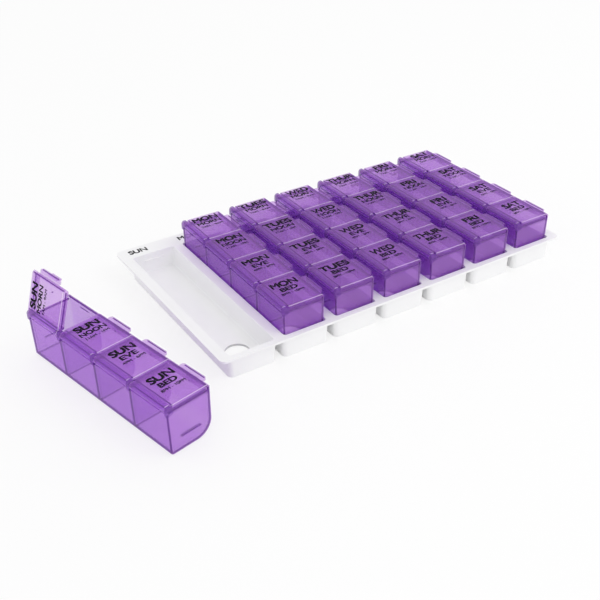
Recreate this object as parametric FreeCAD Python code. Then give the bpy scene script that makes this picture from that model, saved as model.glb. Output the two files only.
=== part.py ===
import FreeCAD, Part
import math
import os

# Weekly pill organizer: a white tray holds one lift-out box for each day, and each box has
# four compartments, each closed by its own snap-hinged lid.
#
# Frame: +Z up, +X from the first day to the last, +Y towards the tray's label strip. The origin
# is the centre of the middle tub's underside, on the surface that the tray stands on.
# Lengths are millimetres and angles are degrees.

# ---- days and doses -------------------------------------------------------------------------
DAYS = ["sun", "mon", "tues", "wed", "thur", "fri", "sat"]
DOSES = ["bed", "eve", "noon", "morn"]      # from the front of a box to its back

# ---- day box ----------------------------------------------------------------------------------
BOX_LENGTH = 112.5          # outside, along the four compartments
BOX_WIDTH = 24.9            # outside, across the rim
BOX_SIDE_DRAFT = 0.3        # each long side leans in by this much from rim to base
BOX_WALL = 1.2
BOX_FLOOR = 1.2
END_WALL_HEIGHT = 24.4      # end walls and dividers
FREE_WALL_HEIGHT = 25.9     # long wall under the lids' free edge
HINGE_WALL_HEIGHT = 23.4    # long wall under the lids' barrels
SCOOP_RADIUS = 8.8          # outside, lower edge on the free side
HEEL_RADIUS = 1.5           # outside, lower edge on the hinge side
RIM_STEP = 0.3              # end walls step in by this much below their rim
RIM_STEP_HEIGHT = 1.2
BOX_EDGE_RADIUS = 0.8       # edges of the end faces, up the corners and under the base

# ---- snap hinge -------------------------------------------------------------------------------
HINGE_INSET = 1.45          # hinge axis from the rim's outer face
BARREL_RADIUS = 1.9         # round hinge edge of a lid, level with its top
BARREL_END_RADIUS = 0.4     # rounding of a barrel's two ends
EAR_RADIUS = 1.85
EAR_WIDTH = 2.2             # ear on a divider, along the hinge
END_EAR_WIDTH = 1.5         # ear on an end wall, along the hinge
EAR_FOOT_HEIGHT = 22.4      # where an ear's gusset meets the hinge wall
PIN_RADIUS = 0.8
PIN_LENGTH = 0.8
PIN_RADIAL_CLEARANCE = 0.05
PIN_END_CLEARANCE = 0.1
BARREL_SIDE_CLEARANCE = 0.2

# ---- lids -------------------------------------------------------------------------------------
LID_TOP = 27.4              # above the box's base, closed
LID_PLATE = 1.1
LID_GAP = 0.5               # between neighbouring lids
LID_SEAT_CLEARANCE = 0.1    # lids over the box's rims
SKIRT_WALL = 1.0
SKIRT_INSET = 0.55          # outer face of an end lid's skirt from the box's end face
LID_SWING_CLEARANCE = 0.1   # plate and skirts off the ears' round heads
BEVEL_WIDTH = 1.25          # sloped free edge, across
BEVEL_DROP = 1.1            # sloped free edge, down
LID_EDGE_RADIUS = 0.45
PLUG_WALL = 0.8             # inner frame of a lid, which reaches into the compartment
PLUG_CLEARANCE = 0.3        # inner frame off the compartment's walls
PLUG_DEPTH = 3.9            # below the lid's top
PLUG_CORNER_RADIUS = 1.0

# ---- thumb tab and latch ----------------------------------------------------------------------
TAB_LENGTH = 16.6
TAB_REACH = 3.0             # past the free wall's outer face
TAB_THICKNESS = 1.2
TAB_CORNER_RADIUS = 1.6
TAB_WALL_CLEARANCE = 0.25   # tab's underside outside the free wall
LATCH_LENGTH = 7.6
LATCH_HEIGHT = 22.4         # latch ridge above the box's base
LATCH_RIDGE = 0.25          # how far the ridge stands off the free wall
LATCH_RIDGE_HEIGHT = 0.7
LIP_THICKNESS = 0.9
LIP_CLEARANCE = 0.3         # latch lip outside the ridge
LIP_BOTTOM = 21.8

# ---- end grips that hold a box in its pocket --------------------------------------------------
GRIP_LENGTH = 12.0          # groove in a box's end wall, end to end
GRIP_HEIGHT = 7.8           # above the box's base
GROOVE_WIDTH = 0.9
GROOVE_DEPTH = 0.35
RIB_SHORTER = 0.4           # tray rib against the groove, in length
RIB_HEIGHT = 0.8
RIB_CLEARANCE = 0.1         # tray rib off the box's end wall

# ---- tray -------------------------------------------------------------------------------------
DAY_PITCH = 32.0
TRAY_HEIGHT = 13.4          # underside of the tubs to the flange's top
TRAY_WALL = 1.3
TRAY_FLOOR = 1.3
FLANGE_THICKNESS = 1.3
FLANGE_CORNER_RADIUS = 3.5
FLANGE_SIDE = 4.9           # past the outer tubs, left and right
FLANGE_FRONT = 2.4          # past the tubs, front
FLANGE_BACK = 9.9           # past the tubs, label strip
POCKET_WIDTH = 25.9         # at the flange's top
POCKET_LENGTH = 114.6       # at the flange's top
POCKET_DRAFT = 0.42         # each wall leans in by this much from top to underside
POCKET_CORNER_RADIUS = 1.6
POCKET_FLOOR_RADIUS = 1.2
FLANGE_LIP_RADIUS = 0.5     # rounded top edge of a pocket
PUSH_HOLE_RADIUS = 6.75
PUSH_HOLE_FROM_FRONT = 16.0     # hole's centre from the pocket's front edge

# ---- how the object lies ----------------------------------------------------------------------
LIFTED_DAY = "sun"          # this day's box stands on the table beside the tray
LIFTED_CENTRE_X = -159.7
LIFTED_CENTRE_Y = -36.0
LIFTED_TURN = 12.5          # turned about +Z
OPEN_LID = ("sun", "morn")
OPEN_ANGLE = 72.0

# ---- sizes that follow ------------------------------------------------------------------------
HALF_BOX = BOX_WIDTH / 2
HALF_LENGTH = BOX_LENGTH / 2
CELL_PITCH = BOX_LENGTH / len(DOSES)
HINGE_X = HINGE_INSET - HALF_BOX
HINGE_HEIGHT = LID_TOP - BARREL_RADIUS
SWING_EDGE = EAR_RADIUS + LID_SWING_CLEARANCE
DRAFT_SLOPE = BOX_SIDE_DRAFT / FREE_WALL_HEIGHT
LID_LENGTH = CELL_PITCH - LID_GAP
TUB_WIDTH = POCKET_WIDTH + 2 * TRAY_WALL
TUB_LENGTH = POCKET_LENGTH + 2 * TRAY_WALL
SAFE = 5.0                  # overrun of a cutting solid, clear of the part
PICK = 0.001                # how near an edge lies to the plane it is picked by
ARC_MIDDLE = 1 - math.sqrt(0.5)     # of a quarter arc's radius, from its corner to its middle
INNER_HEEL_RADIUS = 0.3     # a compartment's lower edge on the hinge side


def vec(x, y, z):
    return FreeCAD.Vector(x, y, z)


def block(x0, x1, y0, y1, z0, z1):
    """A box between two corners."""
    return Part.makeBox(x1 - x0, y1 - y0, z1 - z0, vec(x0, y0, z0))


def rod(radius, y0, y1, x, z):
    """A round bar along Y."""
    return Part.makeCylinder(radius, y1 - y0, vec(x, y0, z), vec(0, 1, 0))


def prism(profile, y0, y1):
    """A closed (x, z) outline, swept along Y."""
    points = [vec(x, y0, z) for x, z in profile]
    face = Part.Face(Part.makePolygon(points + [points[0]]))
    return face.extrude(vec(0, y1 - y0, 0))


def unite(shapes):
    """One clean solid from touching or overlapping ones."""
    return shapes[0].multiFuse(shapes[1:]).removeSplitter()


def side_x(height):
    """Half-width of a box's long sides at a height above its base."""
    return HALF_BOX - (FREE_WALL_HEIGHT - height) * DRAFT_SLOPE


def cell_centre(index):
    """Middle of a compartment along the box, from its centre."""
    return (index + 0.5) * CELL_PITCH - HALF_LENGTH


def compartment_ends(index):
    """Where a compartment starts and ends along the box, between the faces of its two walls."""
    start = index * CELL_PITCH - HALF_LENGTH + BOX_WALL / 2
    end = (index + 1) * CELL_PITCH - HALF_LENGTH - BOX_WALL / 2
    if index == 0:
        start = -HALF_LENGTH + BOX_WALL
    if index == len(DOSES) - 1:
        end = HALF_LENGTH - BOX_WALL
    return start, end


def channel_face(inset, floor, top, heel, scoop, y):
    """Cross-section of a box or of its hollow: two drafted sides, a small heel and the big scoop."""
    left_foot = -side_x(floor) + inset
    right_foot = side_x(floor) - inset
    left_top = vec(-side_x(top) + inset, y, top)
    right_top = vec(side_x(top) - inset, y, top)
    heel_side = vec(-side_x(floor + heel) + inset, y, floor + heel)
    heel_mid = vec(left_foot + heel * ARC_MIDDLE, y, floor + heel * ARC_MIDDLE)
    heel_base = vec(left_foot + heel, y, floor)
    scoop_base = vec(right_foot - scoop, y, floor)
    scoop_mid = vec(right_foot - scoop * ARC_MIDDLE, y, floor + scoop * ARC_MIDDLE)
    scoop_side = vec(side_x(floor + scoop) - inset, y, floor + scoop)
    edges = [
        Part.makeLine(left_top, heel_side),
        Part.Arc(heel_side, heel_mid, heel_base).toShape(),
        Part.makeLine(heel_base, scoop_base),
        Part.Arc(scoop_base, scoop_mid, scoop_side).toShape(),
        Part.makeLine(scoop_side, right_top),
        Part.makeLine(right_top, left_top),
    ]
    return Part.Face(Part.Wire(edges))


def channel(inset, floor, top, heel, scoop, y0, y1):
    return channel_face(inset, floor, top, heel, scoop, y0).extrude(vec(0, y1 - y0, 0))


def ear(y0, y1):
    """Hinge ear: a round head on a gusset that grows out of the hinge wall."""
    head = rod(EAR_RADIUS, y0, y1, HINGE_X, HINGE_HEIGHT)
    wall_inside = -HALF_BOX + BOX_WALL
    gusset = prism([
        (HINGE_X - EAR_RADIUS, HINGE_HEIGHT),
        (HINGE_X - EAR_RADIUS, EAR_FOOT_HEIGHT),
        (wall_inside, EAR_FOOT_HEIGHT),
        (HINGE_X + EAR_RADIUS, HINGE_HEIGHT - EAR_RADIUS),
        (HINGE_X + EAR_RADIUS, HINGE_HEIGHT),
    ], y0, y1)
    return head.fuse(gusset)


def ear_spans():
    """Where the ears stand along the box: one on each end wall and one on each divider."""
    spans = [(-HALF_LENGTH, -HALF_LENGTH + END_EAR_WIDTH)]
    for index in range(1, len(DOSES)):
        middle = index * CELL_PITCH - HALF_LENGTH
        spans.append((middle - EAR_WIDTH / 2, middle + EAR_WIDTH / 2))
    spans.append((HALF_LENGTH - END_EAR_WIDTH, HALF_LENGTH))
    return spans


def barrel_span(index):
    """A lid's barrel runs between the two ears beside its compartment."""
    spans = ear_spans()
    return spans[index][1] + BARREL_SIDE_CLEARANCE, spans[index + 1][0] - BARREL_SIDE_CLEARANCE


def pin_reach(index):
    """A lid's pins reach into the ears' holes on both sides."""
    start, end = barrel_span(index)
    reach = BARREL_SIDE_CLEARANCE + PIN_LENGTH
    return start - reach, end + reach


def day_box():
    """A day box about its own base centre."""
    outer = channel(0, 0, FREE_WALL_HEIGHT, HEEL_RADIUS, SCOOP_RADIUS, -HALF_LENGTH, HALF_LENGTH)
    outer = outer.makeFillet(BOX_EDGE_RADIUS, [
        edge for edge in outer.Edges
        if edge.BoundBox.YLength < PICK and edge.BoundBox.ZMin < FREE_WALL_HEIGHT - PICK])
    cutters = []
    for index in range(len(DOSES)):
        start, end = compartment_ends(index)
        cutters.append(channel(BOX_WALL, BOX_FLOOR, FREE_WALL_HEIGHT + SAFE,
                               INNER_HEEL_RADIUS, SCOOP_RADIUS - BOX_WALL, start, end))
    # end walls and dividers stop below the free wall
    inside_free_wall = HALF_BOX - BOX_WALL
    cutters.append(block(-HALF_BOX - SAFE, inside_free_wall, -HALF_LENGTH - SAFE, HALF_LENGTH + SAFE,
                         END_WALL_HEIGHT, FREE_WALL_HEIGHT + SAFE))
    # hinge wall drops under the barrels
    for index in range(len(DOSES)):
        start, end = barrel_span(index)
        cutters.append(block(-HALF_BOX - SAFE, HINGE_X + EAR_RADIUS, start - BARREL_SIDE_CLEARANCE,
                             end + BARREL_SIDE_CLEARANCE, HINGE_WALL_HEIGHT, FREE_WALL_HEIGHT + SAFE))
    # the end walls' outer faces step in at the rim
    for face_y in (-HALF_LENGTH, HALF_LENGTH):
        cutters.append(block(HINGE_X + EAR_RADIUS, inside_free_wall, face_y - RIM_STEP, face_y + RIM_STEP,
                             END_WALL_HEIGHT - RIM_STEP_HEIGHT, FREE_WALL_HEIGHT + SAFE))
        cutters.append(grip_bar(face_y, GRIP_LENGTH, GROOVE_WIDTH, GROOVE_DEPTH))
    body = outer.cut(cutters[0].multiFuse(cutters[1:]))
    body = body.multiFuse([ear(y0, y1) for y0, y1 in ear_spans()] + latch_ridges())
    holes = []
    for index in range(len(DOSES)):
        start, end = pin_reach(index)
        holes.append(rod(PIN_RADIUS + PIN_RADIAL_CLEARANCE, start - PIN_END_CLEARANCE,
                         end + PIN_END_CLEARANCE, HINGE_X, HINGE_HEIGHT))
    return body.cut(holes[0].multiFuse(holes[1:])).removeSplitter()


def grip_bar(face_y, length, width, depth):
    """A bar with rounded ends, centred on an upright end face, this deep to each side of it."""
    half_run = (length - width) / 2
    ends = [Part.makeCylinder(width / 2, 2 * depth, vec(x, face_y - depth, GRIP_HEIGHT), vec(0, 1, 0))
            for x in (-half_run, half_run)]
    middle = block(-half_run, half_run, face_y - depth, face_y + depth,
                   GRIP_HEIGHT - width / 2, GRIP_HEIGHT + width / 2)
    return middle.multiFuse(ends)


def latch_ridges():
    """A short ridge on the free wall's outside in the middle of each compartment."""
    ridges = []
    wall = side_x(LATCH_HEIGHT)
    for index in range(len(DOSES)):
        middle = cell_centre(index)
        ridges.append(prism([
            (wall - BOX_WALL / 2, LATCH_HEIGHT - LATCH_RIDGE_HEIGHT / 2),
            (wall, LATCH_HEIGHT - LATCH_RIDGE_HEIGHT / 2),
            (wall + LATCH_RIDGE, LATCH_HEIGHT),
            (wall, LATCH_HEIGHT + LATCH_RIDGE_HEIGHT / 2),
            (wall - BOX_WALL / 2, LATCH_HEIGHT + LATCH_RIDGE_HEIGHT / 2),
        ], middle - LATCH_LENGTH / 2, middle + LATCH_LENGTH / 2))
    return ridges


def lid(index):
    """A closed lid in its box's own frame."""
    middle = cell_centre(index)
    y0 = middle - LID_LENGTH / 2
    y1 = middle + LID_LENGTH / 2
    if index == 0:
        y0 = -HALF_LENGTH + SKIRT_INSET
    if index == len(DOSES) - 1:
        y1 = HALF_LENGTH - SKIRT_INSET
    plate_left = HINGE_X + SWING_EDGE
    rim_out = HALF_BOX + LID_SEAT_CLEARANCE
    bevel_in = rim_out - BEVEL_WIDTH
    bevel_foot = LID_TOP - BEVEL_DROP
    rim_bottom = FREE_WALL_HEIGHT + LID_SEAT_CLEARANCE
    skirt_bottom = END_WALL_HEIGHT + LID_SEAT_CLEARANCE
    under = LID_TOP - LID_PLATE
    skirt_right = HALF_BOX - BOX_WALL - PLUG_CLEARANCE

    shell = prism([(plate_left, under), (plate_left, LID_TOP), (bevel_in, LID_TOP),
                   (rim_out, bevel_foot), (rim_out, rim_bottom), (skirt_right, rim_bottom),
                   (skirt_right - LID_PLATE / 2, under)], y0, y1)
    shell = shell.makeFillet(LID_EDGE_RADIUS, [
        edge for edge in shell.Edges
        if edge.BoundBox.ZMin > LID_TOP - PICK and edge.BoundBox.XLength > LID_EDGE_RADIUS])
    skirts = [block(plate_left, skirt_right, start, start + SKIRT_WALL, skirt_bottom, under + LID_EDGE_RADIUS)
              for start in (y0, y1 - SKIRT_WALL)]
    start, end = barrel_span(index)
    barrel = rod(BARREL_RADIUS, start, end, HINGE_X, HINGE_HEIGHT)
    barrel = barrel.makeFillet(BARREL_END_RADIUS, [
        edge for edge in barrel.Edges if edge.BoundBox.YLength < PICK])
    web = block(HINGE_X, plate_left + LID_EDGE_RADIUS, start + BARREL_END_RADIUS, end - BARREL_END_RADIUS,
                under, LID_TOP)
    pin_start, pin_end = pin_reach(index)
    pin = rod(PIN_RADIUS, pin_start, pin_end, HINGE_X, HINGE_HEIGHT)
    pieces = [shell, barrel, web, pin] + skirts + [plug_frame(index), thumb_tab(middle), latch_lip(middle)]
    return unite(pieces)


def plug_frame(index):
    """The frame under a lid that centres it in its compartment."""
    near, far = compartment_ends(index)
    left = HINGE_X + SWING_EDGE
    right = HALF_BOX - BOX_WALL - PLUG_CLEARANCE
    bottom = LID_TOP - PLUG_DEPTH
    top = LID_TOP - LID_PLATE + LID_EDGE_RADIUS
    rings = []
    for inset in (0, PLUG_WALL):
        ring = block(left + inset, right - inset, near + PLUG_CLEARANCE + inset, far - PLUG_CLEARANCE - inset,
                     bottom, top)
        rings.append(ring.makeFillet(PLUG_CORNER_RADIUS - inset / 2, [
            edge for edge in ring.Edges if edge.BoundBox.ZLength > PLUG_DEPTH / 2]))
    return rings[0].cut(rings[1])


def thumb_tab(middle):
    """A rounded tab that stands out past the free wall, for a fingertip."""
    top = LID_TOP - BEVEL_DROP
    root = HALF_BOX + TAB_WALL_CLEARANCE
    tip = HALF_BOX + TAB_REACH
    tab = block(root, tip, middle - TAB_LENGTH / 2, middle + TAB_LENGTH / 2, top - TAB_THICKNESS, top)
    corners = [edge for edge in tab.Edges
               if edge.BoundBox.XMin > tip - PICK and edge.BoundBox.ZLength > TAB_THICKNESS / 2]
    tab = tab.makeFillet(TAB_CORNER_RADIUS, corners)
    neck = block(HALF_BOX - BOX_WALL / 2, root + TAB_CORNER_RADIUS / 2, middle - TAB_LENGTH / 2,
                 middle + TAB_LENGTH / 2, FREE_WALL_HEIGHT + LID_SEAT_CLEARANCE, top)
    return tab.fuse(neck)


def latch_lip(middle):
    """A lip under the tab that hangs outside the latch ridge."""
    inner = side_x(LATCH_HEIGHT) + LATCH_RIDGE + LIP_CLEARANCE
    return block(inner, inner + LIP_THICKNESS, middle - LATCH_LENGTH / 2, middle + LATCH_LENGTH / 2,
                 LIP_BOTTOM, LID_TOP - BEVEL_DROP - TAB_THICKNESS / 2)


def rounded_outline(half_x, half_y, radius, x, y, z):
    """A closed wire: a rectangle with round corners, level at z."""
    left, right, front, back = x - half_x, x + half_x, y - half_y, y + half_y
    slack = radius * ARC_MIDDLE
    return Part.Wire([
        Part.makeLine(vec(left + radius, front, z), vec(right - radius, front, z)),
        Part.Arc(vec(right - radius, front, z), vec(right - slack, front + slack, z),
                 vec(right, front + radius, z)).toShape(),
        Part.makeLine(vec(right, front + radius, z), vec(right, back - radius, z)),
        Part.Arc(vec(right, back - radius, z), vec(right - slack, back - slack, z),
                 vec(right - radius, back, z)).toShape(),
        Part.makeLine(vec(right - radius, back, z), vec(left + radius, back, z)),
        Part.Arc(vec(left + radius, back, z), vec(left + slack, back - slack, z),
                 vec(left, back - radius, z)).toShape(),
        Part.makeLine(vec(left, back - radius, z), vec(left, front + radius, z)),
        Part.Arc(vec(left, front + radius, z), vec(left + slack, front + slack, z),
                 vec(left + radius, front, z)).toShape(),
    ])


def drafted_tub(width, length, radius, x, bottom, top):
    """A tub that narrows downwards at the tray's draft."""
    lean_top = POCKET_DRAFT * (TRAY_HEIGHT - top) / TRAY_HEIGHT
    lean_bottom = POCKET_DRAFT * (TRAY_HEIGHT - bottom) / TRAY_HEIGHT
    wires = [rounded_outline(width / 2 - lean, length / 2 - lean, radius, x, 0, z)
             for lean, z in ((lean_bottom, bottom), (lean_top, top))]
    return Part.makeLoft(wires, True, True)


def pocket_centre(index):
    return (index - (len(DAYS) - 1) / 2) * DAY_PITCH


def tray():
    """The tray: a flat flange with one hanging tub for each day."""
    half_x = pocket_centre(len(DAYS) - 1) + TUB_WIDTH / 2 + FLANGE_SIDE
    front = TUB_LENGTH / 2 + FLANGE_FRONT
    back = TUB_LENGTH / 2 + FLANGE_BACK
    flange_base = TRAY_HEIGHT - FLANGE_THICKNESS
    outline = rounded_outline(half_x, (front + back) / 2, FLANGE_CORNER_RADIUS,
                              0, (back - front) / 2, flange_base)
    body = [Part.Face(outline).extrude(vec(0, 0, FLANGE_THICKNESS))]
    hollows = []
    holes = []
    ribs = []
    for index in range(len(DAYS)):
        x = pocket_centre(index)
        body.append(drafted_tub(TUB_WIDTH, TUB_LENGTH, POCKET_CORNER_RADIUS + TRAY_WALL, x, 0,
                                TRAY_HEIGHT - FLANGE_THICKNESS / 2))
        hollow = drafted_tub(POCKET_WIDTH, POCKET_LENGTH, POCKET_CORNER_RADIUS, x, TRAY_FLOOR, TRAY_HEIGHT)
        hollows.append(hollow.makeFillet(POCKET_FLOOR_RADIUS, [
            edge for edge in hollow.Edges if edge.BoundBox.ZMax < TRAY_FLOOR + PICK]))
        holes.append(Part.makeCylinder(PUSH_HOLE_RADIUS, TRAY_FLOOR + 2 * SAFE,
                                       vec(x, PUSH_HOLE_FROM_FRONT - POCKET_LENGTH / 2, -SAFE)))
        ribs += pocket_ribs(x)
    shape = unite(body).cut(hollows[0].multiFuse(hollows[1:]))
    lips = [edge for edge in shape.Edges
            if edge.BoundBox.ZMin > TRAY_HEIGHT - PICK and abs(edge.CenterOfMass.x) < half_x - FLANGE_SIDE / 2
            and abs(edge.CenterOfMass.y) < POCKET_LENGTH / 2 + PICK]
    shape = shape.makeFillet(FLANGE_LIP_RADIUS, lips)
    return unite([shape.cut(holes[0].multiFuse(holes[1:]))] + ribs)


def pocket_ribs(x):
    """A short rib on each end wall of a pocket, level with the box's grooves."""
    level = TRAY_FLOOR + GRIP_HEIGHT
    lean = POCKET_DRAFT * (TRAY_HEIGHT - level) / TRAY_HEIGHT
    wall = POCKET_LENGTH / 2 - lean
    tip = HALF_LENGTH + RIB_CLEARANCE
    half_run = (GRIP_LENGTH - RIB_SHORTER) / 2
    ribs = []
    for sign in (-1, 1):
        near, far = sorted((sign * tip, sign * (wall + TRAY_WALL / 2)))
        ribs.append(block(x - half_run, x + half_run, near, far,
                          level - RIB_HEIGHT / 2, level + RIB_HEIGHT / 2))
    return ribs


def place(shape, day_index):
    """Put a shape from a box's own frame where that day's box is."""
    moved = shape.copy()
    if DAYS[day_index] == LIFTED_DAY:
        moved.rotate(vec(0, 0, 0), vec(0, 0, 1), LIFTED_TURN)
        moved.translate(vec(LIFTED_CENTRE_X, LIFTED_CENTRE_Y, 0))
    else:
        moved.translate(vec(pocket_centre(day_index), 0, TRAY_FLOOR))
    return moved


def write(shape, name):
    shape.exportStep(os.path.join("parts", name + ".step"))


def main():
    os.makedirs("parts", exist_ok=True)
    write(tray(), "tray")
    box_shape = day_box()
    lids = [lid(index) for index in range(len(DOSES))]
    for day_index, day in enumerate(DAYS):
        write(place(box_shape, day_index), "box_" + day)
        for dose_index, dose in enumerate(DOSES):
            shape = lids[dose_index].copy()
            if (day, dose) == OPEN_LID:
                shape.rotate(vec(HINGE_X, 0, HINGE_HEIGHT), vec(0, -1, 0), OPEN_ANGLE)
            write(place(shape, day_index), "lid_" + day + "_" + dose)


main()
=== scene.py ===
import math

import bmesh
import bpy
from mathutils import Matrix, Vector


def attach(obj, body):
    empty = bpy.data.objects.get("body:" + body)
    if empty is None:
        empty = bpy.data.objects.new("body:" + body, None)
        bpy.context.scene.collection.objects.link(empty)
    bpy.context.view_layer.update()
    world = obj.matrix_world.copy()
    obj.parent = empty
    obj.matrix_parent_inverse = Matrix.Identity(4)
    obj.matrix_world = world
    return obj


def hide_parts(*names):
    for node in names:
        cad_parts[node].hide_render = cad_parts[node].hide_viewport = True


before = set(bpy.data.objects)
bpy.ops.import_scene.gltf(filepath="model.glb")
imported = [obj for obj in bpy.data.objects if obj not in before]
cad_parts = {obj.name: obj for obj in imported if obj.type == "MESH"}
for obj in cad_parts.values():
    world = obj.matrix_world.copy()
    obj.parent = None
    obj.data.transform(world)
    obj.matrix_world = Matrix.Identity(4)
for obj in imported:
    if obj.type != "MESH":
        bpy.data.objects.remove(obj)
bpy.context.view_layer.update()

MM = 0.001

# The organizer: seven day boxes of four lids each, standing in one tray of seven tubs.
DAYS = ["sun", "mon", "tues", "wed", "thur", "fri", "sat"]
DOSES = ["bed", "eve", "noon", "morn"]      # from the front of a box to its back
HOURS = {"bed": "8PM - 10PM", "eve": "4PM - 6PM", "noon": "11AM - 1PM", "morn": "7AM - 9AM"}

# A day box. Across it, its hinge wall lies on the left and its free wall on the right.
BOX_LENGTH = 112.5 * MM
BOX_WIDTH = 24.9 * MM
BOX_SIDE_DRAFT = 0.3 * MM                   # each long side leans in by this much from rim to base
RIM_STEP = 0.3 * MM                         # end walls step in by this much below their rim
HINGE_WALL_TOP = 23.4 * MM
END_WALL_TOP = 24.4 * MM
FREE_WALL_TOP = 25.9 * MM
HEEL_RADIUS = 1.5 * MM                      # lower edge of the hinge wall
SCOOP_RADIUS = 8.8 * MM                     # lower edge of the free wall
EAR_INSIDE = -9.0 * MM                      # just past the inner side of the hinge ears
GRIP_HEIGHT = 7.8 * MM
CELL_PITCH = BOX_LENGTH / len(DOSES)
END_FACE = BOX_LENGTH / 2 - RIM_STEP
BOX_SHOULDER = BOX_WIDTH / 2                # half the width at the rims
BOX_FOOT = BOX_SHOULDER - BOX_SIDE_DRAFT    # half the width at the base

# A lid, in the frame of its box.
LID_TOP = 27.4 * MM
LID_GAP = 0.5 * MM
LID_EDGE_RADIUS = 0.45 * MM
HINGE_INSET = 1.45 * MM
BARREL_RADIUS = 1.9 * MM
LID_LENGTH = CELL_PITCH - LID_GAP
HINGE_X = HINGE_INSET - BOX_SHOULDER
HINGE_HEIGHT = LID_TOP - BARREL_RADIUS

# The tray, where the boxes stand in it or beside it, and how far the one lid is open.
DAY_PITCH = 32.0 * MM
TRAY_FLOOR = 1.3 * MM
TRAY_TOP = 13.4 * MM
POCKET_LENGTH = 114.6 * MM
PUSH_HOLE_FROM_FRONT = 16.0 * MM
PUSH_HOLE_Y = PUSH_HOLE_FROM_FRONT - POCKET_LENGTH / 2
HOLE_EDGE_REACH = 6.8 * MM                  # just past the radius of a push hole
LIFTED_PLACE = Vector((-159.7 * MM, -36.0 * MM, 0.0))
LIFTED_TURN = math.radians(12.5)
OPEN_ANGLE = math.radians(72.0)

# The print: cap heights, and how wide each word runs in millimetres.
DAY_CAP = 5.3 * MM
DOSE_CAP = 3.65 * MM
HOURS_CAP = 2.05 * MM
STRIP_CAP = 4.5 * MM
DAY_WIDTHS = {"sun": 14.1, "mon": 15.8, "tues": 18.3, "wed": 15.6, "thur": 18.7, "fri": 10.7, "sat": 13.1}
DOSE_WIDTHS = {"bed": 10.3, "eve": 9.8, "noon": 15.0, "morn": 15.0}
HOURS_WIDTHS = {"bed": 13.7, "eve": 12.8, "noon": 13.4, "morn": 13.9}
STRIP_SHRINK = 0.815                        # the day's name on the strip against that on a lid

# The strokes grow outwards by a share of the letters' size, and the letters stand closer or not.
DAY_BOLDNESS = 0.051
DOSE_BOLDNESS = 0.047
HOURS_BOLDNESS = 0.034
STRIP_BOLDNESS = 0.040
CLOSE_SPACING = 0.97
PLAIN_SPACING = 1.0

# Where the print lies: on a lid from its compartment's middle, on the strip from the tub's.
FIRST_DAY_TOP = 9.15 * MM
PRINT_DOSE_STEP = 0.97 * MM                 # a little further back from lid to lid
PRINT_SIDE = 0.35 * MM
PRINT_DAY_STEP = 0.26 * MM                  # a little further to the right from day to day
LINE_GAP = 0.9 * MM
HOURS_GAP = 1.3 * MM
STRIP_LEFT = -12.7 * MM
STRIP_MIDDLE = 63.5 * MM
INK_THICKNESS = 0.02 * MM

# Painted shade: dark lines inside the clear plastic, along its walls, corners and rims, standing for
# where refraction and the long way through the plastic make it look dark; the gate mark among them is a
# mould mark.
BOX_LINE_RADIUS = 0.5 * MM
LID_LINE_RADIUS = 0.32 * MM
LATCH_LINE_RADIUS = 0.2 * MM
LINE_SIDES = 8
LINE_INSET = 0.6 * MM
SCOOP_STEPS = 8
GRIP_HALF = 5.6 * MM
GRIP_LINE_DEPTH = 0.48 * MM
LATCH_HALF = 3.6 * MM
LATCH_LINE = (11.75 * MM, 22.7 * MM)        # across the box, and up
BEVEL_LINE = (11.45 * MM, 26.6 * MM)
TAB_LINE = (14.95 * MM, 25.75 * MM)
TAB_HALF = 6.8 * MM
PLATE_LEFT = -9.05 * MM
PLATE_LINE_HEIGHT = 26.7 * MM
SKIRT_RIGHT = 10.95 * MM
SKIRT_LINE_HEIGHT = 25.1 * MM
PIN_LINE_END = 1.7 * MM
GATE_SPOT = (7.8 * MM, -4.9 * MM)           # across the box, and along it from the lid's middle
GATE_DEPTHS = (0.75 * MM, 0.05 * MM)        # below the lid's top

# The colours of the plastics, and how milky the clear one is.
HAZE_PURPLE = (0.52, 0.165, 0.73, 1.0)
# Painted highlight: a paler lilac for the lids' filleted front and back edges, and a little of it on the
# boxes' end faces.
HIGHLIGHT_LILAC = (0.92, 0.74, 0.98, 1.0)
JOINT_PURPLE = (0.27, 0.11, 0.46, 1.0)
# Painted shade: the see-through part of the dark lines along the clear plastic's edges.
SHADE_LINE_PURPLE = (0.45, 0.17, 0.70, 1.0)
DYE_PURPLE = (0.72, 0.36, 0.95, 1.0)
DYE_DENSITY = 300.0
WALL_MILK = 0.235
# The faces with the painted highlight are this milky, and so are the hinge ears.
HIGHLIGHT_AND_EAR_MILK = 0.50
END_WALL_MILK = 0.16                        # the end faces' share of the way from wall to edge
SHADE_LINE_BODY = 0.42                            # how solid the painted shade lines are
# Painted shade: the grey on the wall of each push hole.
HOLE_SHADE_GREY = (0.58, 0.58, 0.59, 1.0)

# How far a face has to point along an axis to count as square to it, leaning to it or rising.
SQUARE = 0.9
LEANING = 0.3
RISING = 0.25

# A moulding's corners nearer than this are one, and its faces are smooth up to this angle.
SAME_CORNER = 0.002 * MM
SHARP_EDGE_ANGLE = math.radians(35.0)
EVEN_FACES = 50                             # small faces count in the shading as large ones do
LARGE_FACES_LEAD = 100                      # large faces stay flat, and small ones bend to them

# Where the camera stands and which way it looks.
CAMERA_PLACE = Vector((-0.27970, -0.39026, 0.28629))
CAMERA_RIGHT = Vector((0.83985, -0.54275, -0.00908))
CAMERA_UP = Vector((0.30087, 0.45152, 0.84000))
CAMERA_LENS = 56.07
CAMERA_SENSOR = 36.0

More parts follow.
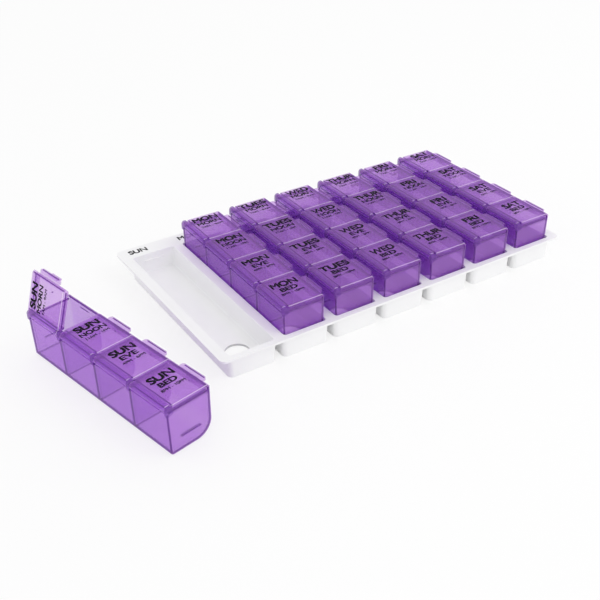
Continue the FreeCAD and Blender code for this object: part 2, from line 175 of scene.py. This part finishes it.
# The light: a white room and a softbox, whose reflection adds to the painted highlight on the lids' front
# edges, over white paper.
WHITE = (1.0, 1.0, 1.0, 1.0)
ROOM_STRENGTH = 0.90
SOFTBOX_SIZE = 0.7
SOFTBOX_DISTANCE = 1.3
SOFTBOX_WAY = Vector((0.45, -0.54, 0.71))
SOFTBOX_POWER = 2.4
FLOOR_SIZE = 6.0
FLOOR_DEPTH = 0.1 * MM
FLOOR_BARENESS = 0.7
CLEAR_WALLS_DEEP = 64                       # as many clear faces may lie one behind another
WHITE_BOUNCES = 6                           # from one white face to the next


def node_tree(material):
    """The material's empty node tree."""
    material.use_nodes = True
    nodes = material.node_tree.nodes
    nodes.clear()
    return nodes, material.node_tree.links


def noise(nodes, links, scale, detail):
    """Cloudy noise that is fixed to the piece."""
    coordinates = nodes.new("ShaderNodeTexCoord")
    cells = nodes.new("ShaderNodeTexNoise")
    cells.inputs["Scale"].default_value = scale
    cells.inputs["Detail"].default_value = detail
    links.new(coordinates.outputs["Object"], cells.inputs["Vector"])
    return cells.outputs["Fac"]


def between(nodes, links, share, low, high):
    """A value that goes from low to high with the share."""
    spread = nodes.new("ShaderNodeMapRange")
    spread.inputs["To Min"].default_value = low
    spread.inputs["To Max"].default_value = high
    links.new(share, spread.inputs["Value"])
    return spread.outputs["Result"]


def shades(nodes, links, share, first, second):
    """A colour that goes from the first (position, colour) to the second with the share."""
    ramp = nodes.new("ShaderNodeValToRGB")
    for stop, (position, colour) in zip(ramp.color_ramp.elements, (first, second)):
        stop.position = position
        stop.color = colour
    links.new(share, ramp.inputs["Fac"])
    return ramp.outputs["Color"]


def ripple(nodes, links, height, strength, distance):
    """Bumps that follow a height."""
    bump = nodes.new("ShaderNodeBump")
    bump.inputs["Strength"].default_value = strength
    bump.inputs["Distance"].default_value = distance
    links.new(height, bump.inputs["Height"])
    return bump.outputs["Normal"]


def face_mark(nodes, name):
    """The mark of that name on the faces."""
    mark = nodes.new("ShaderNodeAttribute")
    mark.attribute_name = name
    return mark.outputs["Fac"]


def combine(nodes, links, operation, first, second):
    """One number from two; the second is a socket or a plain number."""
    step = nodes.new("ShaderNodeMath")
    step.operation = operation
    links.new(first, step.inputs[0])
    if isinstance(second, float):
        step.inputs[1].default_value = second
    else:
        links.new(second, step.inputs[1])
    return step.outputs["Value"]


def tint(nodes, links, share, plain, marked):
    """The plain colour, a socket or a constant, turned into the marked one where the share is 1."""
    mix = nodes.new("ShaderNodeMix")
    mix.data_type = "RGBA"
    if isinstance(plain, tuple):
        mix.inputs["A"].default_value = plain
    else:
        links.new(plain, mix.inputs["A"])
    mix.inputs["B"].default_value = marked
    links.new(share, mix.inputs["Factor"])
    return mix.outputs["Result"]


def clear_shader(nodes, colour):
    """Light goes straight through, in that colour."""
    clear = nodes.new("ShaderNodeBsdfTransparent")
    clear.inputs["Color"].default_value = colour
    return clear.outputs["BSDF"]


def mix_shaders(nodes, links, share, first, second):
    """The first shader, turned into the second by the share, a socket or a plain number."""
    mix = nodes.new("ShaderNodeMixShader")
    if isinstance(share, float):
        mix.inputs["Fac"].default_value = share
    else:
        links.new(share, mix.inputs["Fac"])
    links.new(first, mix.inputs[1])
    links.new(second, mix.inputs[2])
    return mix.outputs["Shader"]


def clear_purple():
    """Thin clear plastic, dyed through: it deepens where it is looked at edge-on and at the hinge ears,
    and it carries a painted highlight, paler and milkier, on the faces marked for it.
    """
    material = bpy.data.materials.new("clear_purple_plastic")
    nodes, links = node_tree(material)
    flow = noise(nodes, links, scale=90.0, detail=3.0)
    rounded = face_mark(nodes, "painted_highlight")
    joint = face_mark(nodes, "thick_joint")

    # Painted highlight: where marked, the haze turns paler lilac and milkier.
    highlighted_colour = tint(nodes, links, rounded, HAZE_PURPLE, HIGHLIGHT_LILAC)
    body_colour = tint(nodes, links, joint, highlighted_colour, JOINT_PURPLE)
    haze = nodes.new("ShaderNodeBsdfDiffuse")
    links.new(body_colour, haze.inputs["Color"])
    highlight_and_ear = combine(nodes, links, "ADD", rounded, joint)
    milk = between(nodes, links, highlight_and_ear, WALL_MILK, HIGHLIGHT_AND_EAR_MILK)
    hazed = mix_shaders(nodes, links, milk, clear_shader(nodes, WHITE), haze.outputs["BSDF"])

    facing = nodes.new("ShaderNodeLayerWeight")
    facing.inputs["Blend"].default_value = 0.5
    steep = combine(nodes, links, "POWER", facing.outputs["Facing"], 5.0)
    mirror = between(nodes, links, steep, low=0.035, high=0.75)
    dull = between(nodes, links, joint, low=1.0, high=0.15)
    shine = combine(nodes, links, "MULTIPLY", mirror, dull)
    gloss = nodes.new("ShaderNodeBsdfAnisotropic")
    gloss.inputs["Color"].default_value = (1.0, 0.96, 1.0, 1.0)
    links.new(between(nodes, links, flow, low=0.10, high=0.22), gloss.inputs["Roughness"])
    links.new(ripple(nodes, links, flow, strength=0.08, distance=0.4 * MM), gloss.inputs["Normal"])
    glossed = mix_shaders(nodes, links, shine, hazed, gloss.outputs["BSDF"])

    to_lamp = nodes.new("ShaderNodeLightPath").outputs["Is Shadow Ray"]
    let_through = mix_shaders(nodes, links, to_lamp, glossed, clear_shader(nodes, WHITE))
    dye = nodes.new("ShaderNodeVolumeAbsorption")
    dye.inputs["Color"].default_value = DYE_PURPLE
    dye.inputs["Density"].default_value = DYE_DENSITY
    output = nodes.new("ShaderNodeOutputMaterial")
    links.new(let_through, output.inputs["Surface"])
    links.new(dye.outputs["Volume"], output.inputs["Volume"])
    return material


def painted_shade():
    """Painted shade: the dark colour put along the corners and edges of the clear plastic, where
    refraction and the long way through it make them look dark.
    """
    material = bpy.data.materials.new("painted_shade_lines")
    nodes, links = node_tree(material)
    drift = noise(nodes, links, scale=220.0, detail=2.0)
    dark = (0.3, (0.085, 0.010, 0.240, 1.0))
    light = (0.7, (0.120, 0.018, 0.320, 1.0))
    body = nodes.new("ShaderNodeBsdfDiffuse")
    links.new(shades(nodes, links, drift, dark, light), body.inputs["Color"])
    line = mix_shaders(nodes, links, SHADE_LINE_BODY, clear_shader(nodes, SHADE_LINE_PURPLE), body.outputs["BSDF"])
    output = nodes.new("ShaderNodeOutputMaterial")
    links.new(line, output.inputs["Surface"])
    return material


def white_plastic():
    """Opaque white plastic with a fine satin grain, faintly cloudy, with painted shade, grey, on the wall
    of each push hole.
    """
    material = bpy.data.materials.new("white_tray_plastic")
    nodes, links = node_tree(material)
    cloud = noise(nodes, links, scale=45.0, detail=2.0)
    grain = noise(nodes, links, scale=2500.0, detail=3.0)
    grey = (0.3, (0.925, 0.925, 0.932, 1.0))
    white = (0.7, (0.950, 0.950, 0.955, 1.0))
    # Painted shade on the push holes' walls.
    shade_in_hole = face_mark(nodes, "painted_hole_shade")
    shader = nodes.new("ShaderNodeBsdfPrincipled")
    links.new(tint(nodes, links, shade_in_hole, shades(nodes, links, cloud, grey, white), HOLE_SHADE_GREY),
              shader.inputs["Base Color"])
    links.new(between(nodes, links, cloud, low=0.36, high=0.48), shader.inputs["Roughness"])
    links.new(ripple(nodes, links, grain, strength=0.10, distance=0.1 * MM), shader.inputs["Normal"])
    output = nodes.new("ShaderNodeOutputMaterial")
    links.new(shader.outputs["BSDF"], output.inputs["Surface"])
    return material


def black_ink():
    """Pad-printed ink: matt black, a little thin in places."""
    material = bpy.data.materials.new("black_print_ink")
    nodes, links = node_tree(material)
    cover = noise(nodes, links, scale=1800.0, detail=4.0)
    thin = (0.25, (0.012, 0.009, 0.015, 1.0))
    full = (0.70, (0.004, 0.003, 0.006, 1.0))
    shader = nodes.new("ShaderNodeBsdfPrincipled")
    shader.inputs["Roughness"].default_value = 0.6
    shader.inputs["Specular IOR Level"].default_value = 0.06
    links.new(shades(nodes, links, cover, thin, full), shader.inputs["Base Color"])
    output = nodes.new("ShaderNodeOutputMaterial")
    links.new(shader.outputs["BSDF"], output.inputs["Surface"])
    return material


def white_floor():
    """White paper: the lens and clear plastic see it mostly as bare white, and it keeps a soft shadow."""
    material = bpy.data.materials.new("white_paper")
    nodes, links = node_tree(material)
    paper = nodes.new("ShaderNodeBsdfDiffuse")
    paper.inputs["Color"].default_value = (0.97, 0.97, 0.97, 1.0)
    bare = nodes.new("ShaderNodeEmission")
    bare.inputs["Color"].default_value = WHITE
    bare.inputs["Strength"].default_value = 1.0
    seen = nodes.new("ShaderNodeLightPath").outputs
    looked_at = combine(nodes, links, "MAXIMUM", seen["Is Camera Ray"], seen["Is Glossy Ray"])
    looked_at = combine(nodes, links, "MAXIMUM", looked_at, seen["Is Transmission Ray"])
    share = combine(nodes, links, "MULTIPLY", looked_at, FLOOR_BARENESS)
    output = nodes.new("ShaderNodeOutputMaterial")
    surface = mix_shaders(nodes, links, share, paper.outputs["BSDF"], bare.outputs["Emission"])
    links.new(surface, output.inputs["Surface"])
    return material


def day_middle(day):
    """How far right of the tray's middle a day's tub lies."""
    return (DAYS.index(day) - (len(DAYS) - 1) / 2) * DAY_PITCH


def dose_middle(dose):
    """How far behind a box's middle a dose's compartment lies."""
    return (DOSES.index(dose) - (len(DOSES) - 1) / 2) * CELL_PITCH


def mark_faces(mesh, name, place, amount):
    """Give each face of a moulding a mark that its plastic reads, from where it lies and how it faces."""
    home = place.inverted()
    turn = home.to_3x3()
    mark = mesh.attributes.new(name, "FLOAT", "FACE")
    for face in mesh.polygons:
        mark.data[face.index].value = amount(home @ face.center, turn @ face.normal)


def lid_highlight_mark(spot, way):
    """Painted highlight: the filleted front and back edges of a lid's top, coloured paler and milkier as
    if light gathered there.
    """
    return float(spot.z > LID_TOP - LID_EDGE_RADIUS and abs(way.y) > LEANING and way.z > RISING)


def end_face_highlight_mark(spot, way):
    """A box's end faces take a small share of the painted highlight, so they are a little paler and
    milkier than its long walls.
    """
    return END_WALL_MILK * float(abs(way.y) > SQUARE and abs(spot.y) > END_FACE - LINE_INSET)


def thick_joint_mark(spot, way):
    """The hinge ears, which stand above the hinge wall."""
    return float(spot.z > HINGE_WALL_TOP and spot.x < EAR_INSIDE)


def painted_hole_shade_mark(spot, way):
    """Painted shade: the wall of a push hole, through the floor of a tub, greyed as if in shade."""
    across = (spot.x + DAY_PITCH / 2) % DAY_PITCH - DAY_PITCH / 2
    out = math.hypot(across, spot.y - PUSH_HOLE_Y)
    return float(spot.z < TRAY_FLOOR and abs(way.z) < LEANING and out < HOLE_EDGE_REACH)


def moulded_piece(node, body, material, weight):
    """The merged copy of a moulding, shaded smooth between its sharp edges."""
    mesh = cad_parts[node].data.copy()
    mesh.name = node + "_moulding"
    shape = bmesh.new()
    shape.from_mesh(mesh)
    bmesh.ops.remove_doubles(shape, verts=shape.verts, dist=SAME_CORNER)
    for face in shape.faces:
        face.smooth = True
    for edge in shape.edges:
        edge.smooth = edge.calc_face_angle(math.pi) < SHARP_EDGE_ANGLE
    shape.to_mesh(mesh)
    shape.free()
    mesh.attributes.remove(mesh.attributes["custom_normal"])
    mesh.materials.clear()
    mesh.materials.append(material)
    piece = bpy.data.objects.new(node + "_moulding", mesh)
    bpy.context.scene.collection.objects.link(piece)
    flats = piece.modifiers.new("flat_faces_stay_flat", "WEIGHTED_NORMAL")
    flats.keep_sharp = True
    flats.weight = weight
    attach(piece, body)
    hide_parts(node)
    return piece


def print_tree():
    """One printed word: its letters thickened, filled, and fitted to a width and a cap height."""
    tree = bpy.data.node_groups.new("printed_word", "GeometryNodeTree")
    sockets = tree.interface
    sockets.new_socket("Word", in_out="INPUT", socket_type="NodeSocketString")
    for name in ("Width", "Height", "Boldness", "Spacing"):
        sockets.new_socket(name, in_out="INPUT", socket_type="NodeSocketFloat")
    sockets.new_socket("Ink", in_out="INPUT", socket_type="NodeSocketMaterial")
    sockets.new_socket("Geometry", in_out="OUTPUT", socket_type="NodeSocketGeometry")
    nodes, links = tree.nodes, tree.links
    given = nodes.new("NodeGroupInput")

    # Letters of size 1, each outline moved outwards, then filled.
    letters = nodes.new("GeometryNodeStringToCurves")
    links.new(given.outputs["Word"], letters.inputs["String"])
    links.new(given.outputs["Spacing"], letters.inputs["Character Spacing"])
    letters.inputs["Size"].default_value = 1.0
    outlines = nodes.new("GeometryNodeRealizeInstances")
    links.new(letters.outputs["Curve Instances"], outlines.inputs["Geometry"])
    points = nodes.new("GeometryNodeResampleCurve")
    points.mode = "EVALUATED"
    links.new(outlines.outputs["Geometry"], points.inputs["Curve"])
    along = nodes.new("GeometryNodeInputTangent")
    outwards = nodes.new("ShaderNodeVectorMath")
    outwards.operation = "CROSS_PRODUCT"
    links.new(along.outputs["Tangent"], outwards.inputs[0])
    outwards.inputs[1].default_value = (0.0, 0.0, 1.0)
    thicken = nodes.new("ShaderNodeVectorMath")
    thicken.operation = "SCALE"
    links.new(outwards.outputs["Vector"], thicken.inputs[0])
    links.new(given.outputs["Boldness"], thicken.inputs["Scale"])
    bolder = nodes.new("GeometryNodeSetPosition")
    links.new(points.outputs["Curve"], bolder.inputs["Geometry"])
    links.new(thicken.outputs["Vector"], bolder.inputs["Offset"])
    filled = nodes.new("GeometryNodeFillCurve")
    links.new(bolder.outputs["Geometry"], filled.inputs["Curve"])

    # The word's own width and cap height, and what it takes to bring them to those wanted.
    extent = nodes.new("GeometryNodeBoundBox")
    links.new(filled.outputs["Mesh"], extent.inputs["Geometry"])
    span = nodes.new("ShaderNodeVectorMath")
    span.operation = "SUBTRACT"
    links.new(extent.outputs["Max"], span.inputs[0])
    links.new(extent.outputs["Min"], span.inputs[1])
    wanted = nodes.new("ShaderNodeCombineXYZ")
    links.new(given.outputs["Width"], wanted.inputs["X"])
    links.new(given.outputs["Height"], wanted.inputs["Y"])
    wanted.inputs["Z"].default_value = 1.0
    ratio = nodes.new("ShaderNodeVectorMath")
    ratio.operation = "DIVIDE"
    links.new(wanted.outputs["Vector"], ratio.inputs[0])
    links.new(span.outputs["Vector"], ratio.inputs[1])

    # The word's lower left corner goes to the origin, and then the word is sized from there.
    to_corner = nodes.new("ShaderNodeVectorMath")
    to_corner.operation = "SCALE"
    links.new(extent.outputs["Min"], to_corner.inputs[0])
    to_corner.inputs["Scale"].default_value = -1.0
    cornered = nodes.new("GeometryNodeTransform")
    links.new(filled.outputs["Mesh"], cornered.inputs["Geometry"])
    links.new(to_corner.outputs["Vector"], cornered.inputs["Translation"])
    flat_ratio = nodes.new("ShaderNodeSeparateXYZ")
    links.new(ratio.outputs["Vector"], flat_ratio.inputs["Vector"])
    fit = nodes.new("ShaderNodeCombineXYZ")
    links.new(flat_ratio.outputs["X"], fit.inputs["X"])
    links.new(flat_ratio.outputs["Y"], fit.inputs["Y"])
    fit.inputs["Z"].default_value = 1.0
    sized = nodes.new("GeometryNodeTransform")
    links.new(cornered.outputs["Geometry"], sized.inputs["Geometry"])
    links.new(fit.outputs["Vector"], sized.inputs["Scale"])

    whole = nodes.new("GeometryNodeRealizeInstances")
    links.new(sized.outputs["Geometry"], whole.inputs["Geometry"])
    inked = nodes.new("GeometryNodeSetMaterial")
    links.new(whole.outputs["Geometry"], inked.inputs["Geometry"])
    links.new(given.outputs["Ink"], inked.inputs["Material"])
    output = nodes.new("NodeGroupOutput")
    links.new(inked.outputs["Geometry"], output.inputs["Geometry"])
    return tree


def printed_word(tree, word, width, height, boldness, spacing, ink):
    """The word's mesh, its lower left corner at the origin, in the XY plane."""
    holder = bpy.data.objects.new("print_" + word, bpy.data.meshes.new("print"))
    bpy.context.scene.collection.objects.link(holder)
    press = holder.modifiers.new("print", "NODES")
    press.node_group = tree
    given = {"Word": word, "Width": width, "Height": height,
             "Boldness": boldness, "Spacing": spacing, "Ink": ink}
    for socket in tree.interface.items_tree:
        if socket.in_out == "INPUT":
            press[socket.identifier] = given[socket.name]
    evaluated = holder.evaluated_get(bpy.context.evaluated_depsgraph_get())
    mesh = bpy.data.meshes.new_from_object(evaluated)
    bpy.data.objects.remove(holder)
    return mesh


def printed_piece(name, words, body, ink):
    """One piece of print from its words' meshes and their places, all on one body."""
    sheet = bmesh.new()
    for mesh, place in words:
        mesh.transform(place)
        sheet.from_mesh(mesh)
        bpy.data.meshes.remove(mesh)
    mesh = bpy.data.meshes.new(name)
    sheet.to_mesh(mesh)
    sheet.free()
    mesh.materials.append(ink)
    piece = bpy.data.objects.new(name, mesh)
    bpy.context.scene.collection.objects.link(piece)
    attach(piece, body)
    return piece


def box_place(day):
    """Where a day's box stands: in its tub, or beside the tray for the lifted one."""
    if day == "sun":
        return Matrix.Translation(LIFTED_PLACE) @ Matrix.Rotation(LIFTED_TURN, 4, "Z")
    return Matrix.Translation((day_middle(day), 0.0, TRAY_FLOOR))


def lid_place(day, dose):
    """The lid's own place: shut on its box, or swung back on its hinge for the open one."""
    place = box_place(day)
    if (day, dose) == ("sun", "morn"):
        hinge = Vector((HINGE_X, 0.0, HINGE_HEIGHT))
        swing = Matrix.Rotation(-OPEN_ANGLE, 4, "Y")
        place = place @ Matrix.Translation(hinge) @ swing @ Matrix.Translation(-hinge)
    return place


def lid_print(tree, day, dose, ink):
    """Day, dose and hours on a lid, one under the other about one middle line."""
    middle = PRINT_SIDE + PRINT_DAY_STEP * max(DAYS.index(day) - 1, 0)
    top = dose_middle(dose) + FIRST_DAY_TOP + DOSES.index(dose) * PRINT_DOSE_STEP
    lines = [
        (day.upper(), DAY_WIDTHS[day] * MM, DAY_CAP, 0.0, DAY_BOLDNESS, CLOSE_SPACING),
        (dose.upper(), DOSE_WIDTHS[dose] * MM, DOSE_CAP, LINE_GAP, DOSE_BOLDNESS, CLOSE_SPACING),
        (HOURS[dose], HOURS_WIDTHS[dose] * MM, HOURS_CAP, HOURS_GAP, HOURS_BOLDNESS, PLAIN_SPACING),
    ]
    words = []
    for word, width, cap, gap, boldness, spacing in lines:
        bottom = top - gap - cap
        mesh = printed_word(tree, word, width, cap, boldness, spacing, ink)
        spot = Vector((middle - width / 2, bottom, LID_TOP + INK_THICKNESS))
        words.append((mesh, lid_place(day, dose) @ Matrix.Translation(spot)))
        top = bottom
    name = "lid_" + day + "_" + dose
    return printed_piece("print_" + day + "_" + dose, words, name, ink)


def strip_print(tree, ink):
    """The day's name on the tray's back strip, behind each tub, ranged left with it."""
    words = []
    for day in DAYS:
        width = DAY_WIDTHS[day] * MM * STRIP_SHRINK
        mesh = printed_word(tree, day.upper(), width, STRIP_CAP, STRIP_BOLDNESS, CLOSE_SPACING, ink)
        left = day_middle(day) + STRIP_LEFT
        spot = Vector((left, STRIP_MIDDLE - STRIP_CAP / 2, TRAY_TOP + INK_THICKNESS))
        words.append((mesh, Matrix.Translation(spot)))
    return printed_piece("print_tray_strip", words, "tray", ink)


def line_tree():
    """Thin round lines along every edge of a wire mesh."""
    tree = bpy.data.node_groups.new("shade_line", "GeometryNodeTree")
    sockets = tree.interface
    sockets.new_socket("Wire", in_out="INPUT", socket_type="NodeSocketGeometry")
    sockets.new_socket("Radius", in_out="INPUT", socket_type="NodeSocketFloat")
    sockets.new_socket("Sides", in_out="INPUT", socket_type="NodeSocketInt")
    sockets.new_socket("Colour", in_out="INPUT", socket_type="NodeSocketMaterial")
    sockets.new_socket("Geometry", in_out="OUTPUT", socket_type="NodeSocketGeometry")
    nodes, links = tree.nodes, tree.links
    given = nodes.new("NodeGroupInput")
    path = nodes.new("GeometryNodeMeshToCurve")
    links.new(given.outputs["Wire"], path.inputs["Mesh"])
    ring = nodes.new("GeometryNodeCurvePrimitiveCircle")
    links.new(given.outputs["Radius"], ring.inputs["Radius"])
    links.new(given.outputs["Sides"], ring.inputs["Resolution"])
    tube = nodes.new("GeometryNodeCurveToMesh")
    links.new(path.outputs["Curve"], tube.inputs["Curve"])
    links.new(ring.outputs["Curve"], tube.inputs["Profile Curve"])
    tube.inputs["Fill Caps"].default_value = True
    whole = nodes.new("GeometryNodeRealizeInstances")
    links.new(tube.outputs["Mesh"], whole.inputs["Geometry"])
    coloured = nodes.new("GeometryNodeSetMaterial")
    links.new(whole.outputs["Geometry"], coloured.inputs["Geometry"])
    links.new(given.outputs["Colour"], coloured.inputs["Material"])
    output = nodes.new("NodeGroupOutput")
    links.new(coloured.outputs["Geometry"], output.inputs["Geometry"])
    return tree


def wall_line(y, whole):
    """The line at a cross wall: down the hinge side, along the floor and, if whole, round and up."""
    foot = BOX_FOOT - LINE_INSET
    shoulder = BOX_SHOULDER - LINE_INSET
    heel = HEEL_RADIUS - LINE_INSET
    scoop = SCOOP_RADIUS - LINE_INSET
    bend = BOX_FOOT - SCOOP_RADIUS
    points = [(-shoulder, HINGE_WALL_TOP - LINE_INSET), (-foot, LINE_INSET + heel),
              (-foot + heel, LINE_INSET), (bend, LINE_INSET)]
    if whole:
        for step in range(1, SCOOP_STEPS + 1):
            turn = math.pi / 2 * step / SCOOP_STEPS
            points.append((bend + scoop * math.sin(turn), SCOOP_RADIUS - scoop * math.cos(turn)))
        points.append((shoulder, FREE_WALL_TOP - LINE_INSET))
    return [Vector((x, y, z)) for x, z in points]


def box_line_paths():
    """Where a box gets painted shade lines: at its cross walls, heel, rims and grip grooves."""
    end = END_FACE - LINE_INSET
    rim = BOX_SHOULDER - 2 * LINE_INSET
    paths = []
    for y in (-end, -CELL_PITCH, 0.0, CELL_PITCH, end):
        paths.append(wall_line(y, whole=(y == -end)))
        paths.append([Vector((x, y, END_WALL_TOP - LINE_INSET)) for x in (-rim, rim)])
    heel = HEEL_RADIUS - LINE_INSET
    for x, z in ((heel - BOX_FOOT, heel), (BOX_SHOULDER - LINE_INSET, FREE_WALL_TOP - LINE_INSET)):
        paths.append([Vector((x, -end, z)), Vector((x, end, z))])
    groove = END_FACE - GRIP_LINE_DEPTH
    for y in (-groove, groove):
        paths.append([Vector((-GRIP_HALF, y, GRIP_HEIGHT)), Vector((GRIP_HALF, y, GRIP_HEIGHT))])
    return paths


def latch_line_paths():
    """One short painted shade line for each latch ridge of a box, below the free wall's rim."""
    x, z = LATCH_LINE
    return [[Vector((x, dose_middle(dose) + y, z)) for y in (-LATCH_HALF, LATCH_HALF)] for dose in DOSES]


def lid_line_paths(dose):
    """Where a lid gets painted shade lines: skirts, hinge pin, plate, free edge and tab tip; and its gate
    mark, a mould mark.
    """
    middle = dose_middle(dose)
    near = max(middle - LID_LENGTH / 2 + LINE_INSET, LINE_INSET - END_FACE)
    far = min(middle + LID_LENGTH / 2 - LINE_INSET, END_FACE - LINE_INSET)
    left = PLATE_LEFT + LINE_INSET
    right = SKIRT_RIGHT - LINE_INSET
    paths = [[Vector((x, y, SKIRT_LINE_HEIGHT)) for x in (left, right)] for y in (near, far)]
    for (x, z), start, end in (((HINGE_X, HINGE_HEIGHT), near + PIN_LINE_END, far - PIN_LINE_END),
                               ((left, PLATE_LINE_HEIGHT), near, far),
                               (BEVEL_LINE, near, far),
                               (TAB_LINE, middle - TAB_HALF, middle + TAB_HALF)):
        paths.append([Vector((x, start, z)), Vector((x, end, z))])
    x, y = GATE_SPOT
    paths.append([Vector((x, middle + y, LID_TOP - depth)) for depth in GATE_DEPTHS])
    return paths


def shade_lines(tree, name, paths, place, radius, colour, body):
    """The painted shade lines inside one moulding, as one piece."""
    wire = bpy.data.meshes.new(name + "_wire")
    points, joins = [], []
    for path in paths:
        first = len(points)
        points += [place @ point for point in path]
        joins += [(first + step, first + step + 1) for step in range(len(path) - 1)]
    wire.from_pydata(points, joins, [])
    holder = bpy.data.objects.new(name, wire)
    bpy.context.scene.collection.objects.link(holder)
    drawing = holder.modifiers.new("lines", "NODES")
    drawing.node_group = tree
    given = {"Radius": radius, "Sides": LINE_SIDES, "Colour": colour}
    for socket in tree.interface.items_tree:
        if socket.in_out == "INPUT" and socket.name in given:
            drawing[socket.identifier] = given[socket.name]
    evaluated = holder.evaluated_get(bpy.context.evaluated_depsgraph_get())
    mesh = bpy.data.meshes.new_from_object(evaluated)
    bpy.data.objects.remove(holder)
    mesh.shade_smooth()
    piece = bpy.data.objects.new(name, mesh)
    bpy.context.scene.collection.objects.link(piece)
    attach(piece, body)


def studio_floor(material):
    """A wide sheet of paper, a hair below the tray and the lifted box."""
    bpy.ops.mesh.primitive_plane_add(size=FLOOR_SIZE, location=(0.0, 0.0, -FLOOR_DEPTH))
    floor = bpy.context.object
    floor.name = "studio_floor"
    floor.data.materials.append(material)


def studio_light():
    """A soft white room, bare white to the lens, and a large softbox, high in front to the right."""
    world = bpy.data.worlds.new("soft_white_room")
    bpy.context.scene.world = world
    world.use_nodes = True
    nodes, links = world.node_tree.nodes, world.node_tree.links
    nodes["Background"].inputs["Color"].default_value = WHITE
    seen = nodes.new("ShaderNodeLightPath").outputs
    strength = between(nodes, links, seen["Is Camera Ray"], low=ROOM_STRENGTH, high=1.0)
    links.new(strength, nodes["Background"].inputs["Strength"])
    data = bpy.data.lights.new("softbox", "AREA")
    data.shape = "DISK"
    data.size = SOFTBOX_SIZE
    data.energy = SOFTBOX_POWER
    softbox = bpy.data.objects.new("softbox", data)
    aim = SOFTBOX_WAY.normalized()
    softbox.location = aim * SOFTBOX_DISTANCE
    softbox.rotation_euler = aim.to_track_quat("Z", "Y").to_euler()
    bpy.context.scene.collection.objects.link(softbox)


def camera():
    """The camera, from its place and the way its frame is turned."""
    data = bpy.data.cameras.new("camera")
    data.lens = CAMERA_LENS
    data.sensor_width = CAMERA_SENSOR
    viewer = bpy.data.objects.new("camera", data)
    back = CAMERA_RIGHT.cross(CAMERA_UP)
    turn = Matrix((CAMERA_RIGHT, CAMERA_UP, back)).transposed().to_4x4()
    viewer.matrix_world = Matrix.Translation(CAMERA_PLACE) @ turn
    bpy.context.scene.collection.objects.link(viewer)
    bpy.context.scene.camera = viewer


camera()
studio_light()
studio_floor(white_floor())
purple = clear_purple()
white = white_plastic()
ink = black_ink()
press = print_tree()
deep = painted_shade()
drawing = line_tree()

tray = moulded_piece("tray", "tray", white, EVEN_FACES)
mark_faces(tray.data, "painted_hole_shade", Matrix.Identity(4), painted_hole_shade_mark)
strip_print(press, ink)
for day in DAYS:
    box = "box_" + day
    place = box_place(day)
    moulding = moulded_piece(box, box, purple, LARGE_FACES_LEAD)
    mark_faces(moulding.data, "thick_joint", place, thick_joint_mark)
    mark_faces(moulding.data, "painted_highlight", place, end_face_highlight_mark)
    # Painted shade lines in each box and lid.
    shade_lines(drawing, "lines_" + day, box_line_paths(), place, BOX_LINE_RADIUS, deep, box)
    shade_lines(drawing, "latch_shade_" + day, latch_line_paths(), place, LATCH_LINE_RADIUS, deep, box)
    for dose in DOSES:
        name = day + "_" + dose
        lid = "lid_" + name
        place = lid_place(day, dose)
        moulding = moulded_piece(lid, lid, purple, LARGE_FACES_LEAD)
        mark_faces(moulding.data, "painted_highlight", place, lid_highlight_mark)
        shade_lines(drawing, "lines_" + name, lid_line_paths(dose), place, LID_LINE_RADIUS, deep, lid)
        lid_print(press, day, dose, ink)

bpy.context.scene.view_settings.view_transform = "Standard"
bpy.context.scene.cycles.transparent_max_bounces = CLEAR_WALLS_DEEP
bpy.context.scene.cycles.diffuse_bounces = WHITE_BOUNCES

bpy.context.view_layer.update()
